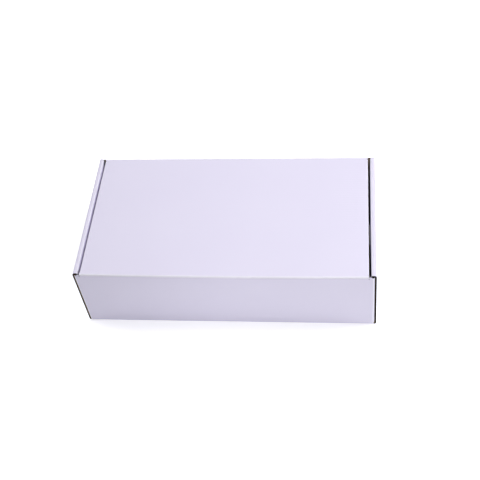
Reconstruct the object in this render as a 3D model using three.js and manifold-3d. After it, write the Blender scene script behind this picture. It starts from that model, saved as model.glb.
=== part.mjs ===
// A white corrugated mailer box with rolled side walls and a tuck front, shut.
// Millimetres. +X points right, +Y to the back, +Z up; the origin is under the middle of the base.
// The box is one die-cut sheet. It is drawn as three solids because two of its folds are worked in use:
// the hinge fold behind the lid and the fold between the lid and its front flap.
import * as THREE from "three";
import { mergeVertices } from "three/addons/utils/BufferGeometryUtils.js";
import Module from "manifold-3d";

const wasm = await Module();
wasm.setup();

// Driving dimensions of the shut box, over its outer faces.
const LENGTH = 320;
const DEPTH = 166;
const HEIGHT = 88;
const BOARD = 1.3; // thickness of the E-flute board
const SLIP = 0.3; // play on each side of a layer that slides
const NEST = 0.2; // play between layers that stay where they are
const FOLD = 1.6; // outer radius of an ordinary fold
const RIM_FOLD = 2.0; // outer radius of the two creases over a rolled wall
const ARC_STEPS = 6; // facets of a quarter-turn fold

const LEFT = 1; // the board lies to the left of its outer face
const RIGHT = -1;

// Layers of a rolled side wall, counted inwards: outer wall, ear, corner flap, inner wall.
const sideFace = LENGTH / 2;
const earFace = sideFace - BOARD - SLIP;
const cornerFace = earFace - BOARD - SLIP;
const innerWallBack = cornerFace - BOARD - NEST;
const innerWallFace = innerWallBack - BOARD;

// Front and back walls.
const frontFace = -DEPTH / 2;
const frontWallFace = frontFace + BOARD + SLIP;
const frontWallBack = frontWallFace + BOARD;
const backFace = DEPTH / 2;
const backWallBack = backFace - BOARD;

// The side walls stop a little short of the front and back faces, and the rolled rim shorter still.
const SIDE_SHORT = 1.8;
const RIM_SHORT = 2.2;
const REAR_SHORT = 0.4;
const sideFront = frontFace + SIDE_SHORT;
const rimFront = frontFace + RIM_SHORT;
const sideRear = backFace - REAR_SHORT;
const innerFront = frontWallBack + SLIP;
const innerRear = backWallBack - SLIP;

// Lid, between the two rolled walls.
const LID_GAP = 1.2;
const lidEdge = innerWallFace - LID_GAP;
const underLid = HEIGHT - BOARD;
const wallTop = underLid - SLIP;
const SHOULDER_LOW = 0.9;
const shoulderTop = HEIGHT - SHOULDER_LOW; // top of the flap beside the lid, in front of the rims

// Dust flaps of the lid, which hang just inside the rolled walls.
const dustFlap = { drop: 38, front: frontFace + 6, rear: backFace - 8, taper: 10, corner: 7 };

// Front flap and the ears at its two ends.
const FLAP_FOOT = 1.5; // height of its lower edge above the floor
const ear = { foot: 5, rear: 24, play: 0.5, corner: 4, steps: 40 };

// Corner flaps, inside the rolled walls.
const cornerFlap = { reach: 56, foot: 2, top: HEIGHT - 4, taper: 7 };

// Tabs under the inner walls, and the slots in the base that hold them.
const tab = { width: 30, centre: 40, root: 2, foot: 0.3, taper: 1.5 };

const OVERLAP = 12; // how far a fold's leg runs on into the panel that it belongs to
const BEYOND = 20; // how far a cutting block stands out past what it cuts
const CLEAR = 1; // how far it does so where other board is near
const GRID = 1 / 1024; // the grid that vertices are put on

// ---------------------------------------------------------------- outlines and solids

const vec = (x, y) => new THREE.Vector2(x, y);

// The section of a board that follows the corners of its outer face, with one outer radius a corner.
// Inside each fold the board is crushed to a sharp corner.
function bentStrip(corners, radii, side) {
  const legs = corners.slice(1).map((c, i) => c.clone().sub(corners[i]).normalize());
  const inward = legs.map((d) => vec(-d.y, d.x).multiplyScalar(side));
  const outer = [corners[0]];
  const inner = [corners[0].clone().addScaledVector(inward[0], BOARD)];
  radii.forEach((radius, i) => {
    const corner = corners[i + 1];
    const towardsInside = inward[i].clone().add(inward[i + 1]);
    const centre = corner.clone().addScaledVector(towardsInside, radius);
    const from = Math.atan2(-inward[i].y, -inward[i].x);
    const turn = Math.atan2(legs[i].cross(legs[i + 1]), legs[i].dot(legs[i + 1]));
    for (let k = 0; k <= ARC_STEPS; k++) {
      const angle = from + (turn * k) / ARC_STEPS;
      outer.push(vec(Math.cos(angle), Math.sin(angle)).multiplyScalar(radius).add(centre));
    }
    inner.push(corner.clone().addScaledVector(towardsInside, BOARD));
  });
  outer.push(corners.at(-1));
  inner.push(corners.at(-1).clone().addScaledVector(inward.at(-1), BOARD));
  return new THREE.Shape([...outer, ...inner.reverse()]);
}

// A closed outline whose corners are rounded by the radii given with them: [x, y, radius].
function roundedOutline(corners) {
  const shape = new THREE.Shape();
  corners.forEach(([x, y, radius], i) => {
    const corner = vec(x, y);
    const [px, py] = corners.at(i - 1);
    const [nx, ny] = corners[(i + 1) % corners.length];
    const start = corner.clone().addScaledVector(vec(px - x, py - y).normalize(), radius);
    const end = corner.clone().addScaledVector(vec(nx - x, ny - y).normalize(), radius);
    if (i === 0) shape.moveTo(start.x, start.y);
    else shape.lineTo(start.x, start.y);
    if (radius > 0) shape.quadraticCurveTo(x, y, end.x, end.y);
  });
  return shape;
}

// Which way an outline's own x, y and depth lie in the box.
const basis = (x, y, z) => new THREE.Matrix4().makeBasis(x, y, z);
const X = new THREE.Vector3(1, 0, 0);
const Y = new THREE.Vector3(0, 1, 0);
const Z = new THREE.Vector3(0, 0, 1);
const alongX = basis(Y, Z, X);
const alongY = basis(X, Z, Y.clone().negate());
const alongZ = basis(X, Y, Z);

// An outline pushed from one position to another along an axis of the box.
function extrude(shape, plane, from, to) {
  const start = plane === alongY ? -to : from;
  const geometry = new THREE.ExtrudeGeometry(shape, {
    depth: to - from,
    bevelEnabled: false,
    curveSegments: ARC_STEPS,
  });
  return solid(geometry.translate(0, 0, start).applyMatrix4(plane));
}

function block([x0, x1], [y0, y1], [z0, z1]) {
  const geometry = new THREE.BoxGeometry(x1 - x0, y1 - y0, z1 - z0);
  return solid(geometry.translate((x0 + x1) / 2, (y0 + y1) / 2, (z0 + z1) / 2));
}

// Every vertex is put on a fine grid, so that faces meant to lie in one plane do so exactly.
function solid(geometry) {
  const bare = geometry.index ? geometry.toNonIndexed() : geometry;
  bare.deleteAttribute("normal");
  bare.deleteAttribute("uv");
  const places = bare.getAttribute("position").array;
  places.forEach((value, i) => (places[i] = Math.round(value / GRID) * GRID));
  const merged = mergeVertices(bare, GRID / 2);
  return new wasm.Manifold(
    new wasm.Mesh({
      numProp: 3,
      vertProperties: merged.getAttribute("position").array,
      triVerts: new Uint32Array(merged.index.array),
    }),
  );
}

const join = (solids) => solids.reduce((whole, next) => whole.add(next));

// A solid together with its mirror image on the other side of the box.
const bothSides = (one) => one.add(one.mirror([1, 0, 0]));

// Everything between the two mitres that part the lid from the back wall and from the front flap.
function lidWedge(play) {
  const high = BEYOND;
  const low = -BEYOND;
  const shape = new THREE.Shape([
    vec(backFace + high - play, HEIGHT + high),
    vec(frontFace - high + play, HEIGHT + high),
    vec(frontFace - low + play, HEIGHT + low),
    vec(backFace + low - play, HEIGHT + low),
  ]);
  return extrude(shape, alongX, -LENGTH, LENGTH);
}

// ---------------------------------------------------------------- the tray

// Floor, outer wall, rim and inner wall are one strip, rolled over at the top.
function rolledWall() {
  const section = bentStrip(
    [
      vec(sideFace - OVERLAP, 0),
      vec(sideFace, 0),
      vec(sideFace, HEIGHT),
      vec(innerWallFace, HEIGHT),
      vec(innerWallFace, BOARD + NEST),
    ],
    [FOLD, RIM_FOLD, RIM_FOLD],
    LEFT,
  );
  const underRim = [-BEYOND, underLid - NEST / 2];
  const innerSpan = [innerWallFace - CLEAR, innerWallBack + NEST / 2];
  const rimEnd = block([0, sideFace - BOARD], [frontFace, rimFront], [HEIGHT / 2, HEIGHT + CLEAR]);
  return extrude(section, alongY, sideFront, sideRear)
    .subtract(rimEnd)
    .subtract(block(innerSpan, [frontFace, innerFront], underRim).subtract(floorPlate()))
    .subtract(block(innerSpan, [innerRear, backFace], underRim).subtract(floorPlate()));
}

// A tab that hangs from the inner wall into the base.
function wallTab(centre) {
  const half = tab.width / 2;
  const outline = new THREE.Shape([
    vec(centre - half, BOARD + tab.root),
    vec(centre - half, BOARD),
    vec(centre - half + tab.taper, tab.foot),
    vec(centre + half - tab.taper, tab.foot),
    vec(centre + half, BOARD),
    vec(centre + half, BOARD + tab.root),
  ]);
  return extrude(outline, alongX, innerWallFace, innerWallBack);
}

function floorPlate() {
  const x = sideFace - OVERLAP / 2;
  return block([-x, x], [frontWallFace + OVERLAP / 2, backFace - OVERLAP / 2], [0, BOARD]);
}

function tabSlot(centre) {
  const half = tab.width / 2 + NEST;
  return block(
    [innerWallFace - NEST, innerWallBack + NEST],
    [centre - half, centre + half],
    [-CLEAR, BOARD + CLEAR],
  );
}

function frontWall() {
  const foot = bentStrip(
    [vec(frontWallFace + OVERLAP, 0), vec(frontWallFace, 0), vec(frontWallFace, wallTop)],
    [FOLD],
    RIGHT,
  );
  return extrude(foot, alongX, -(cornerFace - FOLD), cornerFace - FOLD);
}

// The back wall runs on into its half of the hinge fold, across the width of the lid.
function backWall() {
  const foot = bentStrip(
    [vec(backFace - OVERLAP, 0), vec(backFace, 0), vec(backFace, wallTop)],
    [FOLD],
    LEFT,
  );
  const hinge = bentStrip(
    [vec(backFace, HEIGHT - OVERLAP), vec(backFace, HEIGHT), vec(backFace - OVERLAP, HEIGHT)],
    [FOLD],
    LEFT,
  );
  return extrude(foot, alongX, -(cornerFace - FOLD), cornerFace - FOLD).add(
    extrude(hinge, alongX, -lidEdge, lidEdge).subtract(lidWedge(0)),
  );
}

// A flap folded round the end of the front or back wall into the rolled side wall.
function cornerFlapAt(wallFace, inward) {
  const tip = wallFace + inward * cornerFlap.reach;
  const bend = bentStrip(
    [vec(cornerFace - OVERLAP, wallFace), vec(cornerFace, wallFace), vec(cornerFace, tip)],
    [FOLD],
    inward > 0 ? LEFT : RIGHT,
  );
  const { foot, top, taper } = cornerFlap;
  const root = wallFace - inward * CLEAR;
  const outline = new THREE.Shape([
    vec(root, foot),
    vec(wallFace + inward * taper, foot),
    vec(tip, foot + taper),
    vec(tip, top - taper),
    vec(wallFace + inward * taper, top),
    vec(root, top),
  ]);
  return extrude(bend, alongZ, foot, top).intersect(extrude(outline, alongX, 0, LENGTH));
}

function tray() {
  const side = join([
    rolledWall(),
    cornerFlapAt(frontWallFace, 1),
    cornerFlapAt(backFace, -1),
  ]);
  const slots = bothSides(join([-tab.centre, tab.centre].map(tabSlot)));
  const tabs = bothSides(join([-tab.centre, tab.centre].map(wallTab)));
  return join([floorPlate(), frontWall(), backWall(), bothSides(side)]).subtract(slots).add(tabs);
}

// ---------------------------------------------------------------- the lid

function lid() {
  const section = bentStrip(
    [
      vec(backFace, HEIGHT - OVERLAP),
      vec(backFace, HEIGHT),
      vec(frontFace, HEIGHT),
      vec(frontFace, HEIGHT - OVERLAP),
    ],
    [FOLD, FOLD],
    LEFT,
  );
  const { drop, front, rear, taper, corner } = dustFlap;
  const panel = extrude(section, alongX, -lidEdge, lidEdge).intersect(lidWedge(SLIP));
  const foldStrip = block(
    [lidEdge - FOLD, lidEdge + CLEAR],
    [front, rear],
    [HEIGHT - BEYOND, HEIGHT + CLEAR],
  );
  const bend = bentStrip(
    [vec(lidEdge - OVERLAP, HEIGHT), vec(lidEdge, HEIGHT), vec(lidEdge, HEIGHT - drop)],
    [FOLD],
    RIGHT,
  );
  const outline = roundedOutline([
    [front, HEIGHT + CLEAR, 0],
    [front, HEIGHT - FOLD, 0],
    [front + taper, HEIGHT - drop, corner],
    [rear - taper, HEIGHT - drop, corner],
    [rear, HEIGHT - FOLD, 0],
    [rear, HEIGHT + CLEAR, 0],
  ]);
  const flap = extrude(bend, alongY, front, rear).intersect(extrude(outline, alongX, 0, LENGTH));
  return panel.subtract(bothSides(foldStrip)).add(bothSides(flap));
}

// ---------------------------------------------------------------- the front flap

// An ear, with the shoulder of the flap that stands beside the lid in front of the rim. It narrows
// upwards on an arc about the lid's hinge, so that it swings up clear of the rolled rim.
function earSolid() {
  const reach = Math.hypot(backFace - rimFront, BOARD) + ear.play;
  const rise = (z) => backFace - Math.sqrt(reach ** 2 - (HEIGHT - z) ** 2);
  const back = [];
  for (let k = 0; k <= ear.steps; k++) {
    const z = ear.foot + ((shoulderTop - ear.foot) * k) / ear.steps;
    back.push(vec(Math.min(rise(z), frontFace + ear.rear), z));
  }
  const outline = new THREE.Shape([
    vec(frontFace, ear.foot),
    vec(frontFace + ear.rear - ear.corner, ear.foot),
    ...back.filter((p) => p.y > ear.foot + ear.corner),
    vec(frontFace, shoulderTop),
  ]);
  const bend = bentStrip(
    [vec(lidEdge + SLIP, frontFace), vec(earFace, frontFace), vec(earFace, 0)],
    [FOLD],
    LEFT,
  );
  return extrude(bend, alongZ, ear.foot, shoulderTop).intersect(
    extrude(outline, alongX, 0, LENGTH),
  );
}

// The flap's face, its half of the fold under the lid, and the two ears.
function frontFlap() {
  const face = block(
    [-(earFace - FOLD), earFace - FOLD],
    [frontFace, frontFace + BOARD],
    [FLAP_FOOT, wallTop],
  );
  const fold = bentStrip(
    [vec(frontFace, HEIGHT - OVERLAP), vec(frontFace, HEIGHT), vec(frontFace + OVERLAP, HEIGHT)],
    [FOLD],
    RIGHT,
  );
  return join([
    face,
    extrude(fold, alongX, -lidEdge, lidEdge).subtract(lidWedge(0)),
    bothSides(earSolid()),
  ]);
}

// ---------------------------------------------------------------- the box

const paper = (colour, roughness) =>
  new THREE.MeshStandardMaterial({ color: colour, roughness, metalness: 0 });

function piece(name, body, material) {
  const made = body.getMesh();
  const geometry = new THREE.BufferGeometry();
  geometry.setAttribute("position", new THREE.BufferAttribute(made.vertProperties, 3));
  geometry.setIndex(new THREE.BufferAttribute(made.triVerts, 1));
  geometry.computeVertexNormals();
  const mesh = new THREE.Mesh(geometry, material);
  mesh.name = name;
  return mesh;
}

const coatedWhite = paper(0xe6e3f5, 0.5);
const box = new THREE.Group();
box.add(piece("tray", tray(), coatedWhite));
box.add(piece("lid", lid(), coatedWhite));
box.add(piece("front_flap", frontFlap(), coatedWhite));

export default box;
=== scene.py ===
# %% [markdown]
# # A white corrugated mailer box
#
# The real box is one sheet of corrugated board, cut by a die, creased and folded up. There is no
# glue in it: the side walls are rolled over at the top and lock into slots in the floor, and the
# lid's front flap tucks in behind their front edges.
#
# This lesson builds the board the way a box maker would. Each panel is laid out flat, follows its
# folds along a path, and gets the three real papers of the board: a white liner outside, a brown
# liner inside, and a wavy medium between them that shows at every cut edge.

# %% Load the frame
import math

import bmesh
import bpy
from mathutils import Matrix, Vector


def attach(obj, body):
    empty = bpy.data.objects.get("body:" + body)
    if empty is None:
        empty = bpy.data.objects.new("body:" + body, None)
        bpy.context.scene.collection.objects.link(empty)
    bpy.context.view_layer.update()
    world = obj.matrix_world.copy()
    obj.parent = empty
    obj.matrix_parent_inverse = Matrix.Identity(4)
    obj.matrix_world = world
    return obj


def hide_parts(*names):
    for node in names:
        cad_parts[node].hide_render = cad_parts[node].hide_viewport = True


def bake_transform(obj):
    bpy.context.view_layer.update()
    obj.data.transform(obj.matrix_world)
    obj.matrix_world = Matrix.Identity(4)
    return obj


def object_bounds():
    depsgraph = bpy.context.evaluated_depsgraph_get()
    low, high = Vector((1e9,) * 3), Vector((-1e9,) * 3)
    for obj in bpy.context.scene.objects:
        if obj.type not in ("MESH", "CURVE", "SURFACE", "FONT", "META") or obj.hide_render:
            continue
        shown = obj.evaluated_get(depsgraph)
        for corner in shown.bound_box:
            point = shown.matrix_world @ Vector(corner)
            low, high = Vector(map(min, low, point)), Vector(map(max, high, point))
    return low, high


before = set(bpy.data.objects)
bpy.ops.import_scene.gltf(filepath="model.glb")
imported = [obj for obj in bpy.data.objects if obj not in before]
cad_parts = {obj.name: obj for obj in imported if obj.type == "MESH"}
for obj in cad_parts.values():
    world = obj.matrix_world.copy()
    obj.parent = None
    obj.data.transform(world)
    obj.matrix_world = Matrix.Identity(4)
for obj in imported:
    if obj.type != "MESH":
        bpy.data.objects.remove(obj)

cad_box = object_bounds()
print("CAD box, metres:", [tuple(round(x, 4) for x in corner) for corner in cad_box])

# %% [markdown]
# ## The camera
#
# The box is seen from above its front, a little right of its middle, with the lid and the front
# flap both in view. A camera can be aimed with a constraint, but three plain turns are easier to
# read: swing it round, tip it down, and roll it a little about its own line of sight. A long lens
# keeps the box's upright edges from leaning in too far.

# %% Camera
LENS = 0.070
SENSOR = 0.036
LENS_DROP = -0.125  # the view slides down the sheet of film by an eighth of its width
SWING = 11.20
TIP = 48.334
ROLL = -8.651
STAND = (0.14449, -0.63525, 0.87206)

view_data = bpy.data.cameras.new("view")
view_data.lens = LENS * 1000
view_data.sensor_width = SENSOR * 1000
view_data.shift_y = LENS_DROP
view = bpy.data.objects.new("view", view_data)
bpy.context.scene.collection.objects.link(view)
bpy.context.scene.camera = view
view.location = STAND
view.rotation_euler = (
    Matrix.Rotation(math.radians(SWING), 3, "Z")
    @ Matrix.Rotation(math.radians(90 - TIP), 3, "X")
    @ Matrix.Rotation(math.radians(ROLL), 3, "Z")
).to_euler()
print("camera", round((view.location - sum(cad_box, Vector()) / 2).length, 3), "m from the box")

# %% [markdown]
# ## Sizes
#
# Everything is worked out from the outer box and the thickness of the board. Layers that slide past
# each other have a little play, and each one sits that much further in than the last. The board is
# thinner than a new sheet, because rolling and folding press it, and the side walls lean in a
# little, because the tabs under them pull them down.

# %% Sizes
MM = 0.001
BOARD = 1.12 * MM
SLIP = 0.3 * MM  # play between layers that slide
NEST = 0.2 * MM  # play round a tab in its slot
FOLD = 1.6 * MM
RIM_FOLD = 2.8 * MM  # the rims are rounder outside than in
EDGE_FOLD = 1.3 * MM
WORKED_FOLD = 2.1 * MM  # the two folds that are opened and shut
LEAD = 1.5 * MM  # flat board left on each side of a fold that is its own strip
LID_GAP = 2.4 * MM
LEAN = 0.45 * MM  # how far the side walls are pulled in by their tabs
EAR_PLAY = 0.9 * MM  # the ears stand off the outer walls, the flaps behind them are packed tight
TIGHT = 0.05 * MM
SIDE_SHORT, RIM_SHORT, REAR_SHORT = 1.8 * MM, 2.2 * MM, 0.4 * MM  # where side walls and rims stop
FLAP_ROOM = 0.6 * MM  # the front wall is lower, so that the flap's fold clears it as it opens

length, depth, height = cad_box[1] - cad_box[0]
side_face = length / 2 - LEAN
front_face = -depth / 2
back_face = depth / 2

ear_face = side_face - BOARD - EAR_PLAY
corner_face = ear_face - BOARD - TIGHT
inner_wall_back = corner_face - BOARD - TIGHT
inner_wall_face = inner_wall_back - BOARD
front_wall_face = front_face + BOARD + SLIP
side_front = front_face + SIDE_SHORT
rim_front = front_face + RIM_SHORT
side_rear = back_face - REAR_SHORT
inner_front = front_wall_face + BOARD + SLIP
inner_rear = back_face - BOARD - SLIP
lid_edge = inner_wall_face - LID_GAP
wall_top = height - BOARD - SLIP
front_wall_top = wall_top - FLAP_ROOM
crease_foot = height - WORKED_FOLD - LEAD
crease_reach = depth / 2 - WORKED_FOLD - LEAD
print("box, metres:", round(length, 4), round(depth, 4), round(height, 4))
print("rim, metres:", round(side_face - inner_wall_face, 4))

# %% [markdown]
# ## Following the folds
#
# Seen end on, a folded strip of board is a line with quarter turns in it. The path below is drawn
# like a walk: go forward, turn left, go forward, with the board always on the walker's left. At
# every stop it notes how far along it is, where the outer face is, which way the board's thickness
# lies, and how wide the strip is there. A Bezier curve with a bevel could give the same bend, but
# it can't change width along the way, and a die-cut panel does so at every notch.

# %% The walk along a strip
FOLD_STEPS = 7
FOLD_SPREAD = 1.8  # above 1, so that the painted highlight is full over most of a fold


class Walk:
    """The outer face of a strip of board, seen end on, as a list of stops."""

    def __init__(self, start, heading):
        self.place = Vector(start)
        self.heading = math.radians(heading)
        self.gone = 0.0
        self.stops = []

    def direction(self):
        return Vector((math.cos(self.heading), math.sin(self.heading)))

    def inward(self):
        return Vector((-math.sin(self.heading), math.cos(self.heading)))

    def note(self, near, far, bend=0.0):
        edge = [side(self.place) if callable(side) else side for side in (near, far)]
        self.stops.append((self.gone, self.place.copy(), self.inward(), *edge, bend))

    def ahead(self, distance, near, far, pieces=1, at=()):
        """Flat board, divided evenly or at the shares of its length that at lists."""
        start = self.place.copy()
        gone = self.gone
        shares = at or [k / pieces for k in range(1, pieces)]
        for share in (0.0, *shares, 1.0):
            self.place = start + self.direction() * distance * share
            self.gone = gone + distance * share
            self.note(near, far)

    def left(self, radius, near, far, stretch=1.0):
        """A quarter turn, rounded on the outer face. Stretch scales the painted highlight on its
        fold.
        """
        centre = self.place + self.inward() * radius
        gone, heading = self.gone, self.heading
        for k in range(FOLD_STEPS + 1):
            share = k / FOLD_STEPS
            self.heading = heading + share * math.pi / 2
            self.place = centre - self.inward() * radius
            self.gone = gone + share * radius * math.pi / 2
            # painted highlight: full over most of the fold, kept at each stop for the white liner's
            # colour
            bend = min(1.0, FOLD_SPREAD * math.sin(share * math.pi))
            self.note(near, far, bend=stretch * bend)


sample = Walk((0, 0), 0)
sample.left(FOLD, -FOLD, FOLD)
print("a fold has", len(sample.stops), "stops and takes", round(sample.gone / MM, 2), "mm of board")

# %% [markdown]
# ## From the walk to three papers
#
# The stops and a set of rows make a flat grid, trimmed to the panel's outline by pulling each row
# back to the edge of the strip. Cells inside a slot are left out. The same grid is then laid three
# times: thin for the two liners, and waving from one to the other for the medium. Corrugated board
# could be one thick slab with a picture of waves on its edge, but real tunnels catch real shadow,
# and they stay right from any side.

# %% Trimmed grid
SAME = 1e-7


def trimmed_grid(stops, rows, slots=()):
    """Points as (stop, row) and cells as rings of points, for one strip."""
    rows = sorted({round(r / SAME) * SAME for r in rows} | {s[k] for s in stops for k in (3, 4)})
    index, points, cells = {}, [], []

    def point(stop, row):
        row = min(max(row, stop[3]), stop[4])
        key = (round(stop[0] / SAME), round(row / SAME))
        if key not in index:
            index[key] = len(points)
            points.append((stop, row))
        return index[key]

    for a, b in zip(stops, stops[1:]):
        if b[0] - a[0] < SAME:
            continue
        middle = (a[0] + b[0]) / 2
        for low, high in zip(rows, rows[1:]):
            in_slot = any(
                s0 < middle < s1 and r0 < (low + high) / 2 < r1 for s0, s1, r0, r1 in slots
            )
            ring = [point(a, low), point(b, low), point(b, high), point(a, high)]
            ring = list(dict.fromkeys(ring))
            if len(ring) > 2 and not in_slot:
                cells.append(ring)
    return points, cells


print("the sample fold makes", len(trimmed_grid(sample.stops, ())[1]), "cells")

# %% [markdown]
# The liners are thin and flat, and the medium waves between them without touching. Each kind of
# flute has its own pitch. Fine board like this has one about every three millimetres.

# %% Papers of the board
LINER = 0.22 * MM
MEDIUM = 0.16 * MM
PITCH = 3.3 * MM  # from one flute to the next
WAVE_STEPS = 8
WAVE_PLAY = 0.01 * MM
WHITE, KRAFT, SHADED_CUT = range(3)
WAVE = (BOARD - 2 * LINER - MEDIUM) / 2 - WAVE_PLAY
print("the medium waves", round(WAVE / MM, 2), "mm to each side of the board's middle")

# %% Board in layers
class Board:
    """Strips of board that move together, gathered into one mesh."""

    def __init__(self):
        self.corners, self.faces, self.papers = [], [], []
        self.across, self.bend = [], []

    def layer(self, points, cells, place, shallow, deep, papers):
        """A closed sheet between two depths. Papers are for its outer face, inner face and rim."""
        first = len(self.corners)
        count = len(points)
        for depth_at in (shallow, deep):
            for stop, row in points:
                self.corners.append(place(stop[1] + stop[2] * depth_at(stop, row), row))
                self.across.append(row)
                self.bend.append(stop[5])
        edges = {}
        for ring in cells:
            self.faces.append([first + i for i in ring])
            self.papers.append(papers[0])
            self.faces.append([first + count + i for i in reversed(ring)])
            self.papers.append(papers[1])
            for i, j in zip(ring, ring[1:] + ring[:1]):
                edges[(i, j)] = (j, i) not in edges
                if not edges[(i, j)]:
                    edges[(j, i)] = False
        for (i, j), rim in edges.items():
            if rim:
                self.faces.append([first + j, first + i, first + count + i, first + count + j])
                self.papers.append(papers[2])

    def lay(self, walk, place, along_walk=True, rows=(), slots=()):
        """Both liners and the medium. The flutes lie along the walk, or across it."""
        points, cells = trimmed_grid(walk.stops, rows, slots)
        level = lambda depth_at: lambda stop, row: depth_at
        self.layer(points, cells, place, level(0.0), level(LINER), (WHITE, SHADED_CUT, SHADED_CUT))
        self.layer(points, cells, place, level(BOARD - LINER), level(BOARD), (SHADED_CUT, KRAFT, SHADED_CUT))

        def wave(stop, row):
            along = row if along_walk else stop[0]
            return BOARD / 2 + WAVE * math.sin(2 * math.pi * along / PITCH)

        if along_walk:
            low, high = min(s[3] for s in walk.stops), max(s[4] for s in walk.stops)
            step = PITCH / WAVE_STEPS
            rows = [*rows, *(low + step * k for k in range(int((high - low) / step) + 1))]
            points, cells = trimmed_grid(walk.stops, rows, slots)
        self.layer(
            points,
            cells,
            place,
            lambda s, r: wave(s, r) - MEDIUM / 2,
            lambda s, r: wave(s, r) + MEDIUM / 2,
            (SHADED_CUT, SHADED_CUT, SHADED_CUT),
        )


# %% [markdown]
# The gathered corners and faces become one mesh. It keeps two numbers at every corner for the
# finishes to read: how far across the flutes it is, and how strong a painted highlight a fold
# gives it. Edges sharper than a fold's steps stay crisp, so cut edges look cut and folds look
# round.

# %% From board to object
CRISP = 32  # degrees


def make_piece(board, name, papers):
    """Makes the object, with the papers' finishes in its slots."""
    mesh = bpy.data.meshes.new(name)
    mesh.from_pydata([tuple(c) for c in board.corners], [], board.faces)
    for label, values in (("across", board.across), ("bend", board.bend)):
        mesh.attributes.new(label, "FLOAT", "POINT").data.foreach_set("value", values)
    for finish in papers:
        mesh.materials.append(finish)
    mesh.polygons.foreach_set("material_index", board.papers)
    work = bmesh.new()
    work.from_mesh(mesh)
    bmesh.ops.recalc_face_normals(work, faces=work.faces)
    work.to_mesh(mesh)
    work.free()
    mesh.shade_smooth()
    mesh.set_sharp_from_angle(angle=math.radians(CRISP))
    made = bpy.data.objects.new(name, mesh)
    bpy.context.scene.collection.objects.link(made)
    print(name, len(mesh.vertices), "corners,", len(mesh.polygons), "faces")
    return made


# %% [markdown]
# ## Shader sums in plain Python
#
# A node tree for a sum such as 1 - mask * 0.3 is two Math nodes. Wrapping a socket in a small
# class lets the script say the sum itself, and each operator adds its node.

# %% Wires
class Wire:
    """A number that travels between nodes."""

    def __init__(self, finish, socket):
        self.finish, self.socket = finish, socket

    def sum(self, operation, *values):
        return self.finish.add("ShaderNodeMath", {"operation": operation}, *values)

    def __add__(self, other):
        return self.sum("ADD", self, other)

    def __sub__(self, other):
        return self.sum("SUBTRACT", self, other)

    def __rsub__(self, other):
        return self.sum("SUBTRACT", other, self)

    def __mul__(self, other):
        return self.sum("MULTIPLY", self, other)

    __radd__ = __add__
    __rmul__ = __mul__


# %% [markdown]
# A finish is one material. One method adds any node, settings first and sockets after. Colours go
# through Mix nodes, because a Math node would turn them grey.

# %% Finishes
class Finish:
    """One material, built up node by node."""

    def __init__(self, name):
        self.material = bpy.data.materials.new(name)
        self.material.use_nodes = True
        self.nodes = self.material.node_tree.nodes
        self.links = self.material.node_tree.links
        self.shader = self.nodes["Principled BSDF"]

    def add(self, kind, settings=None, *values, out=0, **named):
        """A node of any kind: its settings first, then values or wires for its sockets."""
        node = self.nodes.new(kind)
        for key, value in (settings or {}).items():
            if key == "stops":
                for stop, position in zip(node.color_ramp.elements, value):
                    stop.position = position
            else:
                setattr(node, key, value)
        sockets = [*enumerate(values), *((key.replace("_", " "), v) for key, v in named.items())]
        for key, value in sockets:
            self.feed(node.inputs[key], value)
        return Wire(self, node.outputs[out])

    def feed(self, socket, value):
        if isinstance(value, Wire):
            self.links.new(value.socket, socket)
        else:
            socket.default_value = value

    def blend(self, share, first, second):
        """A colour between two others."""
        mix = self.add("ShaderNodeMix", {"data_type": "RGBA"}, share, out=2)
        inputs = mix.socket.node.inputs
        self.feed(inputs[6], first)
        self.feed(inputs[7], second)
        return mix

    def noise(self, scale, detail=3.0, roughness=0.5, stretch=(1, 1, 1)):
        """Noise fixed to the box, with features about 1 / scale metres across."""
        place = self.add("ShaderNodeTexCoord", out="Object")
        place = self.add("ShaderNodeMapping", None, Vector=place, Scale=stretch)
        return self.add(
            "ShaderNodeTexNoise",
            None,
            Vector=place,
            Scale=scale,
            Detail=detail,
            Roughness=roughness,
        )

    def attribute(self, label):
        return self.add("ShaderNodeAttribute", {"attribute_name": label}, out="Fac")

    def bump(self, height, distance, **under):
        """Relief: height runs from 0 to 1 over the distance, in metres."""
        return self.add(
            "ShaderNodeBump", None, Strength=1.0, Distance=distance, Height=height, **under
        )

    def finish(self, **sockets):
        for key, value in sockets.items():
            self.feed(self.shader.inputs[key.replace("_", " ")], value)
        return self.material


# %% [markdown]
# ## The white liner
#
# The outside is a white coated paper, cool and slightly lilac, with a low sheen. It isn't quite
# even: the coat clouds a little, fibres show faintly, and the flutes underneath draw soft bands
# called washboarding. Along the folds a painted highlight makes it paler; the stretched coat is
# smoother.
# A single white would look like plastic, so each of these is its own small term in the sums.

# %% White liner
WASHBOARD, FIBRE_RELIEF, COCKLE = 0.018 * MM, 0.02 * MM, 0.12 * MM  # depths of relief


def white_liner():
    paper = Finish("white_liner")
    cloud = paper.noise(14.0, detail=2.0)
    fibre = paper.noise(2600.0, detail=2.0, stretch=(0.35, 1, 1))
    fold = paper.attribute("bend")
    flute = paper.add(
        "ShaderNodeMath", {"operation": "SINE"}, paper.attribute("across") * (2 * math.pi / PITCH)
    )
    tone = (cloud - 0.5) * 0.9 + (fibre - 0.5) * 0.5 + 0.5
    base = paper.blend(tone, (0.735, 0.700, 0.862, 1), (0.765, 0.732, 0.886, 1))
    # painted highlight: the colour turns paler along the folds
    colour = paper.blend(fold * 0.8, base, (0.89, 0.87, 0.97, 1))
    relief = paper.bump(flute * 0.5 + 0.5, WASHBOARD)
    relief = paper.bump(fibre, FIBRE_RELIEF, Normal=relief)
    relief = paper.bump(paper.noise(45.0, detail=2.0), COCKLE, Normal=relief)
    return paper.finish(
        Base_Color=colour,
        Roughness=0.5 + (fibre - 0.5) * 0.16 - fold * 0.08,
        Specular_IOR_Level=0.45,
        Normal=relief,
    )
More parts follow.
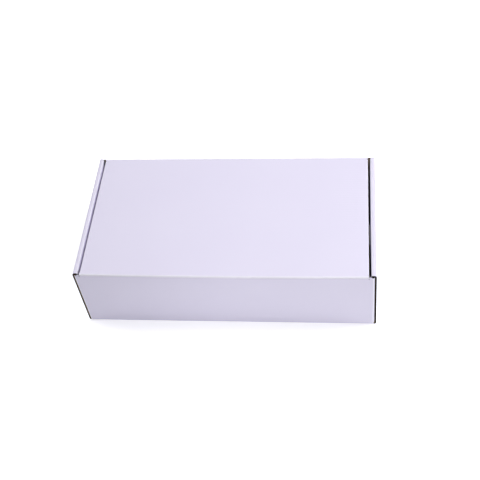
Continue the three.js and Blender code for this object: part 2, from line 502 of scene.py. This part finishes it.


# %% [markdown]
# ## The brown papers
# Inside, the liner is unbleached kraft: long fibres, darker flecks, no shine. The cut edges are the
# same brown paper, but rougher and painted nearly black, as painted shade for the dark between the
# flutes and in the gaps along the edges.

# %% Kraft liner and cut edges
KRAFT_RELIEF = 0.05 * MM
FLECK_STOPS = (0.68, 0.76)


def brown_paper(name, pale, dark, roughness):
    paper = Finish(name)
    fibre = paper.noise(900.0, detail=4.0, roughness=0.65, stretch=(0.25, 1, 1))
    cloud = paper.noise(25.0, detail=3.0)
    speck = paper.noise(1500.0, detail=1.0, stretch=(0.4, 1, 1))
    fleck = paper.add("ShaderNodeValToRGB", {"stops": FLECK_STOPS}, speck)
    tone = (fibre - 0.5) * 1.1 + (cloud - 0.5) * 0.8 + 0.5
    colour = paper.blend(tone, dark, pale)
    colour = paper.blend(fleck * 0.35, colour, tuple(c * 0.4 for c in dark[:3]) + (1,))
    return paper.finish(
        Base_Color=colour,
        Roughness=roughness + (fibre - 0.5) * 0.15,
        Specular_IOR_Level=0.12,
        Normal=paper.bump(fibre, KRAFT_RELIEF),
    )


papers = [
    white_liner(),
    brown_paper("kraft_liner", (0.52, 0.35, 0.21, 1), (0.40, 0.25, 0.14, 1), 0.82),
    # painted shade: the cut edges and the medium are painted nearly black
    brown_paper("cut_edge_painted_shade", (0.014, 0.007, 0.008, 1), (0.006, 0.004, 0.005, 1), 0.9),
]
print("papers:", [p.name for p in papers])

# %% [markdown]
# ## The tray
#
# Floor and side walls are one long strip: up the inner wall, over the rim, down the outer wall,
# across the floor and the same again on the other side. Two tabs under each inner wall pass through
# slots in the floor, which is what locks a rolled wall down. The rims are round outside and tighter
# inside, and get only a faint painted highlight. The four walls could be boxes pushed together, but
# one strip gets its folds right by itself.

# %% Rear notch of the rims
NOTCH = 3.0 * MM


def rear_notch(place):
    """The rims' rear inner corners are rounded off, which leaves room for the hinge fold."""
    reach = max(0.0, inner_wall_face + NOTCH - abs(place.x))
    return NOTCH - math.sqrt(NOTCH**2 - min(reach, NOTCH) ** 2)


rim_inside = Vector((inner_wall_face, height))
print("the notch takes", round(rear_notch(rim_inside) / MM, 2), "mm off the rim's inner edge")

# %% Floor and rolled side walls
TAB_CENTRE, TAB_HALF, TAB_FOOT = 40 * MM, 15 * MM, 0.3 * MM
# how strong the rims' painted highlight is
RIM_HIGHLIGHT = 0.15
inner_foot = BOARD + NEST


def rolled_strip(board):
    tab_near, tab_far = TAB_CENTRE - TAB_HALF, TAB_CENTRE + TAB_HALF
    slot_inside = inner_wall_face - NEST
    slot_outside = inner_wall_back + NEST
    floor_near, floor_far = front_wall_face + FOLD + LEAD, back_face - FOLD - LEAD
    rim_rear = lambda place: side_rear - rear_notch(place)
    rim_flat = side_face - inner_wall_face - RIM_FOLD - EDGE_FOLD
    walk = Walk((-inner_wall_face, TAB_FOOT), 90)
    walk.ahead(inner_foot - TAB_FOOT, -tab_far, tab_far)
    walk.ahead(height - EDGE_FOLD - inner_foot, inner_front, inner_rear)
    walk.left(EDGE_FOLD, rim_front, rim_rear)
    walk.ahead(rim_flat, rim_front, rim_rear, pieces=4)
    walk.left(RIM_FOLD, rim_front, side_rear, RIM_HIGHLIGHT)
    walk.ahead(height - RIM_FOLD - FOLD, side_front, side_rear)
    walk.left(FOLD, side_front, side_rear)
    walk.ahead(side_face - FOLD - slot_outside, side_front, side_rear)
    width = 2 * slot_outside
    inset = (slot_outside - slot_inside) / width
    floor_start = walk.gone
    walk.ahead(width, floor_near, floor_far, at=(inset, 0.5, 1 - inset))
    floor_end = walk.gone
    walk.ahead(side_face - FOLD - slot_outside, side_front, side_rear)
    walk.left(FOLD, side_front, side_rear)
    walk.ahead(height - RIM_FOLD - FOLD, side_front, side_rear)
    walk.left(RIM_FOLD, rim_front, side_rear, RIM_HIGHLIGHT)
    walk.ahead(rim_flat, rim_front, rim_rear, pieces=4)
    walk.left(EDGE_FOLD, rim_front, rim_rear)
    walk.ahead(height - EDGE_FOLD - inner_foot, inner_front, inner_rear)
    walk.ahead(inner_foot - TAB_FOOT, -tab_far, tab_far)
    gap = slot_outside - slot_inside
    tab = inner_foot - TAB_FOOT
    slots = [(0, tab, -tab_near, tab_near), (walk.gone - tab, walk.gone, -tab_near, tab_near)]
    for side in (-1, 1):
        low, high = sorted((side * (tab_near - NEST), side * (tab_far + NEST)))
        slots.append((floor_start, floor_start + gap, low, high))
        slots.append((floor_end - gap, floor_end, low, high))
    rows = [row for s in slots for row in s[2:]]
    board.lay(walk, lambda p, y: Vector((p.x, y, p.y)), rows=rows, slots=slots)
    return walk.gone


tray_board = Board()
strip_length = rolled_strip(tray_board)
print("the rolled strip is", round(strip_length, 4), "m from tab to tab")

# %% [markdown]
# The front and back walls are strips too: a corner flap, the wall, and the other corner flap. The
# flaps taper towards their tips, so that they slide in beside the side walls.

# %% Front and back walls
CORNER_REACH, CORNER_FOOT, CORNER_TAPER = 56 * MM, 2.0 * MM, 7 * MM
CORNER_SHORT = 4 * MM
corner_top = height - CORNER_SHORT


def end_wall(board, face, facing):
    """The front wall (facing -1) or the back wall (facing 1), with its corner flaps."""
    tip = face - facing * CORNER_REACH

    def taper(place):
        reach = abs(place.y - face)
        return CORNER_TAPER * max(0.0, reach - CORNER_TAPER) / (CORNER_REACH - CORNER_TAPER)

    foot = lambda place: CORNER_FOOT + taper(place)
    top = lambda place: corner_top - taper(place)
    run = CORNER_REACH - FOLD
    at = ((run - CORNER_TAPER + FOLD) / run,)
    low = FOLD + LEAD
    half = corner_face - FOLD
    walk = Walk((facing * corner_face, tip), 90 * facing)
    walk.ahead(run, foot, top, at=at)
    walk.left(FOLD, CORNER_FOOT, corner_top)
    if facing < 0:
        walk.ahead(2 * half, low, front_wall_top)
    else:
        walk.ahead(half - lid_edge, low, wall_top)
        walk.ahead(2 * lid_edge, low, crease_foot)
        walk.ahead(half - lid_edge, low, wall_top)
    walk.left(FOLD, CORNER_FOOT, corner_top)
    walk.ahead(run, foot, top, at=(1 - at[0],))
    board.lay(walk, lambda p, z: Vector((p.x, p.y, z)))
    return walk.gone


front_length = end_wall(tray_board, front_wall_face, -1)
back_length = end_wall(tray_board, back_face, 1)
print("front wall strip", round(front_length, 4), "m, back", round(back_length, 4), "m")

# %% [markdown]
# The two walls join the floor by a short strip that only holds the fold, because that fold runs
# across the box while the walls' own folds stand upright. The same helper makes the two folds that
# work, further on.

# %% Folds across the box
def fold_strip(board, start, heading, half, radius=FOLD, stretch=1.0, place=None, rows=()):
    """A fold that runs from left to right, with a little flat board on each side."""
    place = place or (lambda p, x: Vector((x, p.x, p.y)))
    walk = Walk(start, heading)
    walk.ahead(LEAD, -half, half, pieces=4)
    # stretch sets how strong the fold's painted highlight is
    walk.left(radius, -half, half, stretch)
    walk.ahead(LEAD, -half, half, pieces=4)
    board.lay(walk, place, along_walk=False, rows=rows)


fold_strip(tray_board, (front_wall_face, FOLD + LEAD), -90, corner_face - FOLD)
fold_strip(tray_board, (back_face - FOLD - LEAD, 0), 0, corner_face - FOLD)
tray = make_piece(tray_board, "tray_board", papers)
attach(tray, "tray")
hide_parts("tray")

# %% [markdown]
# ## The bow of the front
#
# Board that is folded by hand is never dead straight. The long fold over the front bows out by
# about a millimetre in the middle, and takes the lid and the top of the flap with it. One function
# moves all three, so that they still meet.

# %% Bow
BOW = 1.1 * MM


def bowed(x, y, z):
    """A point of the lid or the front flap after the board has bowed."""
    across = math.cos(math.pi / 2 * min(1.0, abs(x) / lid_edge))
    if y > -crease_reach:
        share = max(0.0, -y / crease_reach) ** 2
    else:
        share = min(1.0, max(0.0, z / crease_foot)) ** 1.5
    return Vector((x, y - BOW * across * share, z))


fold_line = bowed(0, -crease_reach, height).y
print("the front's fold bows out", round((-crease_reach - fold_line) / MM, 2), "mm in the middle")

# %% [markdown]
# ## The lid
#
# The lid is a strip across the box: a dust flap, the top panel and the other dust flap. Its side
# folds and their painted highlight give the lid its soft bright edges beside the rims. A bevelled
# slab could have the same top, but it would have no flaps to show when the box is open.

# %% Outline of the dust flaps
DUST_DROP, DUST_TAPER, DUST_CORNER = 38 * MM, 10 * MM, 6 * MM
DUST_FRONT, DUST_REAR = 6 * MM, 8 * MM  # how far the flaps stop short of the box's faces


def dust_inset(place):
    """How far a dust flap's ends have slanted in, with a rounded corner at the bottom."""
    drop = height - EDGE_FOLD - place.y
    slant = DUST_TAPER * drop / (DUST_DROP - EDGE_FOLD)
    left_over = DUST_DROP - EDGE_FOLD - drop
    if left_over < DUST_CORNER:
        slant += DUST_CORNER - math.sqrt(max(0.0, DUST_CORNER**2 - (DUST_CORNER - left_over) ** 2))
    return slant


tip = Vector((lid_edge, height - DUST_DROP))
print("a dust flap's end has slanted in", round(dust_inset(tip) / MM, 1), "mm at the bottom")

# %% Lid and dust flaps
HINGE_NOTCH = 0.4 * MM
CORNER_STEPS = 8


def lid_strip(board):
    near = lambda place: front_face + DUST_FRONT + dust_inset(place)
    far = lambda place: back_face - DUST_REAR - dust_inset(place)
    run = DUST_DROP - EDGE_FOLD
    turns = [k * math.pi / 2 / CORNER_STEPS for k in range(1, CORNER_STEPS + 1)]
    corner = [DUST_CORNER / run * (1 - math.cos(turn)) for turn in turns]
    rear = crease_reach - HINGE_NOTCH
    walk = Walk((lid_edge, height - DUST_DROP), 90)
    walk.ahead(run, near, far, at=corner)
    walk.left(EDGE_FOLD, -crease_reach, rear)
    walk.ahead(2 * (lid_edge - EDGE_FOLD), -crease_reach, crease_reach, pieces=24)
    walk.left(EDGE_FOLD, -crease_reach, rear)
    walk.ahead(run, near, far, at=[1 - share for share in reversed(corner)])
    rows = [crease_reach * k / 8 for k in range(-8, 9)]
    board.lay(walk, lambda p, y: bowed(p.x, y, p.y), rows=rows)


lid_board = Board()
lid_strip(lid_board)
lid = make_piece(lid_board, "lid_board", papers)
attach(lid, "lid")
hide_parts("lid")

# %% [markdown]
# ## The front flap
#
# An ear, the front panel and the other ear are one strip that runs round the front. The panel is
# wider than the lid, so its shoulders stand in front of the rims. The top of each ear is cut on an
# arc about the hinge, so that it swings up clear of the rims, and the ear narrows to a tip at its
# rear. A cutter could trim these outlines from a plain strip, but small functions of place let the
# strip follow them exactly.

# %% Outline of the flap
FLAP_FOOT, EAR_FOOT, EAR_REAR, EAR_CORNER, EAR_FOLD = 1.5 * MM, 5 * MM, 24 * MM, 4 * MM, 2.2 * MM
SHOULDER_ROUND, SHOULDER_DROP, SHOULDER_LOW = 4.0 * MM, 1.8 * MM, 0.6 * MM
SWEEP_PLAY = 0.5 * MM
shoulder_top = height - SHOULDER_LOW
ear_sweep = math.hypot(back_face - rim_front, BOARD) + SWEEP_PLAY


def ear_top(place):
    """The ears' upper edge keeps clear of the rims' ends as the lid turns about its hinge."""
    fallen = ear_sweep**2 - (back_face - place.y) ** 2
    return min(shoulder_top - SHOULDER_DROP, height - math.sqrt(max(0.0, fallen)))


def ear_foot(place):
    """The ears' lower rear corners are rounded."""
    left_over = max(0.0, front_face + EAR_REAR - place.y)
    rounding = max(0.0, EAR_CORNER - left_over)
    return EAR_FOOT + EAR_CORNER - math.sqrt(EAR_CORNER**2 - rounding**2)


def fold_foot(place):
    """The flap's lower corners are cut back, from the panel's foot up to the ear's."""
    share = (abs(place.x) - (ear_face - EAR_FOLD)) / EAR_FOLD
    return FLAP_FOOT + (EAR_FOOT - FLAP_FOOT) * max(0.0, share) ** 2


def shoulder(place):
    """The shoulders round off towards the ears."""
    share = (abs(place.x) - (ear_face - SHOULDER_ROUND)) / (SHOULDER_ROUND - EAR_FOLD)
    return shoulder_top - SHOULDER_DROP * min(1.0, max(0.0, share)) ** 2


ear_front = Vector((-ear_face, front_face + EAR_FOLD))
ear_span = [round(edge(ear_front) / MM, 1) for edge in (ear_foot, ear_top)]
print("beside its fold an ear stands from", ear_span[0], "to", ear_span[1], "mm above the table")

# %% [markdown]
# Two edges of the flap aren't flat. The top of each shoulder is pressed back where it meets the
# end of a rim, and the die crushes the foot as it cuts. Both are moved a little inwards, more so
# towards the very edge, which needs closer rows there.

# %% Front flap and ears
CURL, CURL_IN = 1.6 * MM, 0.9 * MM
CRUSH, CRUSH_IN = 1.2 * MM, 0.6 * MM
CURL_ROW, CURL_ROWS, CRUSH_ROWS = 0.25 * MM, 12, 5
EAR_LEAST = 0.5 * MM  # the least height of the ears' upper edge above the line of their foot


def curled(place, z):
    """The shoulders' top edge is pressed back by the rims' ends, and the foot by the die."""
    point = bowed(place.x, place.y, z)
    over = max(0.0, z - (shoulder(place) - CURL)) / CURL
    under = max(0.0, FLAP_FOOT + CRUSH - z) / CRUSH
    point.y += CURL_IN * over**2 + CRUSH_IN * min(1.0, under) ** 2
    return point


def flap_strip(board):
    run = EAR_REAR - EAR_FOLD
    shares = [(k / 14) ** 1.6 for k in range(1, 14)]
    slit = lid_edge + SLIP
    high = lambda place: max(ear_top(place), EAR_FOOT + EAR_LEAST)
    walk = Walk((-ear_face, front_face + EAR_REAR), -90)
    walk.ahead(run, ear_foot, high, at=[1 - share for share in reversed(shares)])
    walk.left(EAR_FOLD, fold_foot, shoulder)
    walk.ahead(ear_face - EAR_FOLD - slit, FLAP_FOOT, shoulder, pieces=6)
    walk.ahead(2 * slit, FLAP_FOOT, crease_foot, pieces=24)
    walk.ahead(ear_face - EAR_FOLD - slit, FLAP_FOOT, shoulder, pieces=6)
    walk.left(EAR_FOLD, fold_foot, shoulder)
    walk.ahead(run, ear_foot, high, at=shares)
    rows = [height * k / 10 for k in range(1, 10)]
    rows += [FLAP_FOOT + CRUSH * k / CRUSH_ROWS for k in range(1, CRUSH_ROWS + 1)]
    rows += [shoulder_top - SHOULDER_DROP - CURL + CURL_ROW * k for k in range(CURL_ROWS)]
    board.lay(walk, curled, rows=rows)


flap_board = Board()
flap_strip(flap_board)
flap = make_piece(flap_board, "front_flap_board", papers)
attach(flap, "front_flap")
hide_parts("front_flap")

# %% [markdown]
# ## The two working folds
#
# The lid hinges on a fold along the back wall, and the flap on a fold along the lid's front. Each
# is a short strip of its own whose two ends meet different parts of the box. They get a stronger
# painted highlight than folds made once. Splitting the board in a sharp line would be simpler, but
# it would gape as soon as the lid moved. The flap's fold starts to turn where its middle has bowed
# out to, so it stays joined to the lid all along.

# %% Hinge fold and flap fold
# the working folds get a stronger painted highlight than other folds
WORKED_HIGHLIGHT = 1.25
FOLD_ROWS = 12  # to each side of the middle


def working_fold(name, start, heading):
    """A fold that opens. Its board bends from the first of the ends to the second."""
    board = Board()
    rows = [lid_edge * k / FOLD_ROWS for k in range(-FOLD_ROWS, FOLD_ROWS + 1)]
    place = lambda p, x: bowed(x, p.x, p.y)
    fold_strip(board, start, heading, lid_edge, WORKED_FOLD, WORKED_HIGHLIGHT, place, rows)
    piece = make_piece(board, name, papers)
    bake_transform(piece)


working_fold(
    "hinge_fold",
    (back_face, crease_foot),
    90,
)
working_fold(
    "flap_fold",
    (-crease_reach, height),
    180,
)

# %% [markdown]
# ## Table and light
#
# The box stands on a white sheet that glows a little, as a light table does, so it stays white
# where the lamps' shadows fall. A plain sheet would need far more light from above, and the lid
# would turn as white as the sheet.

# %% Floor
FLOOR_REACH = 20.0  # half the sheet's width, so that it fills low views as well
FLOOR_DROP = 0.3 * MM  # just below the box, so that their faces don't flicker
GLOW = 0.67


def ground():
    mesh = bpy.data.meshes.new("studio_floor")
    signs = ((-1, -1), (1, -1), (1, 1), (-1, 1))
    corners = [(x * FLOOR_REACH, y * FLOOR_REACH, -FLOOR_DROP) for x, y in signs]
    mesh.from_pydata(corners, [], [(0, 1, 2, 3)])
    sheet = Finish("studio_paper")
    mesh.materials.append(
        sheet.finish(
            Base_Color=sheet.blend(sheet.noise(3.0), (0.69, 0.69, 0.69, 1), (0.71, 0.71, 0.71, 1)),
            Roughness=0.9,
            Emission_Color=(1.0, 1.0, 1.04, 1),
            Emission_Strength=GLOW,
        )
    )
    floor = bpy.data.objects.new("studio_floor", mesh)
    bpy.context.scene.collection.objects.link(floor)


ground()
print("floor", 2 * FLOOR_REACH, "m wide")

# %% [markdown]
# Two broad lamps stand above and behind the box, one to each side. They light the lid and the rims,
# and set how bright each end is, with soft shadows. A narrow spot from the front lifts the front
# panel, most of all near its middle. The surround is nearly black, so that gaps and cut edges stay
# deep. One large lamp overhead would be simpler, but the front would then be too dark.

# %% Surround and lamps
SURROUND = 0.03


def lamp(name, kind, place, target, power, **settings):
    data = bpy.data.lights.new(name, kind)
    data.energy = power
    for key, value in settings.items():
        setattr(data, key, value)
    made = bpy.data.objects.new(name, data)
    made.location = place
    made.rotation_euler = (Vector(target) - Vector(place)).to_track_quat("-Z", "Y").to_euler()
    bpy.context.scene.collection.objects.link(made)
    print(name, power, "W")


world = bpy.data.worlds.new("surround")
bpy.context.scene.world = world
world.use_nodes = True
background = world.node_tree.nodes["Background"]
background.inputs["Color"].default_value = (1, 1, 1, 1)
background.inputs["Strength"].default_value = SURROUND
middle = (0, 0, 0)
lamp("right_lamp", "AREA", (1.02, 0.25, 1.34), middle, 21.6, size=0.55)
lamp("left_lamp", "AREA", (-0.95, 0.3, 1.4), middle, 12.9, size=0.7)
lamp(
    "front_lamp",
    "SPOT",
    (0.25, -1.1, 0.65),
    (0.09, -0.08, 0.04),
    11.6,
    spot_size=0.36,
    spot_blend=0.4,
    shadow_soft_size=0.1,
)
bpy.context.scene.view_settings.view_transform = "Standard"
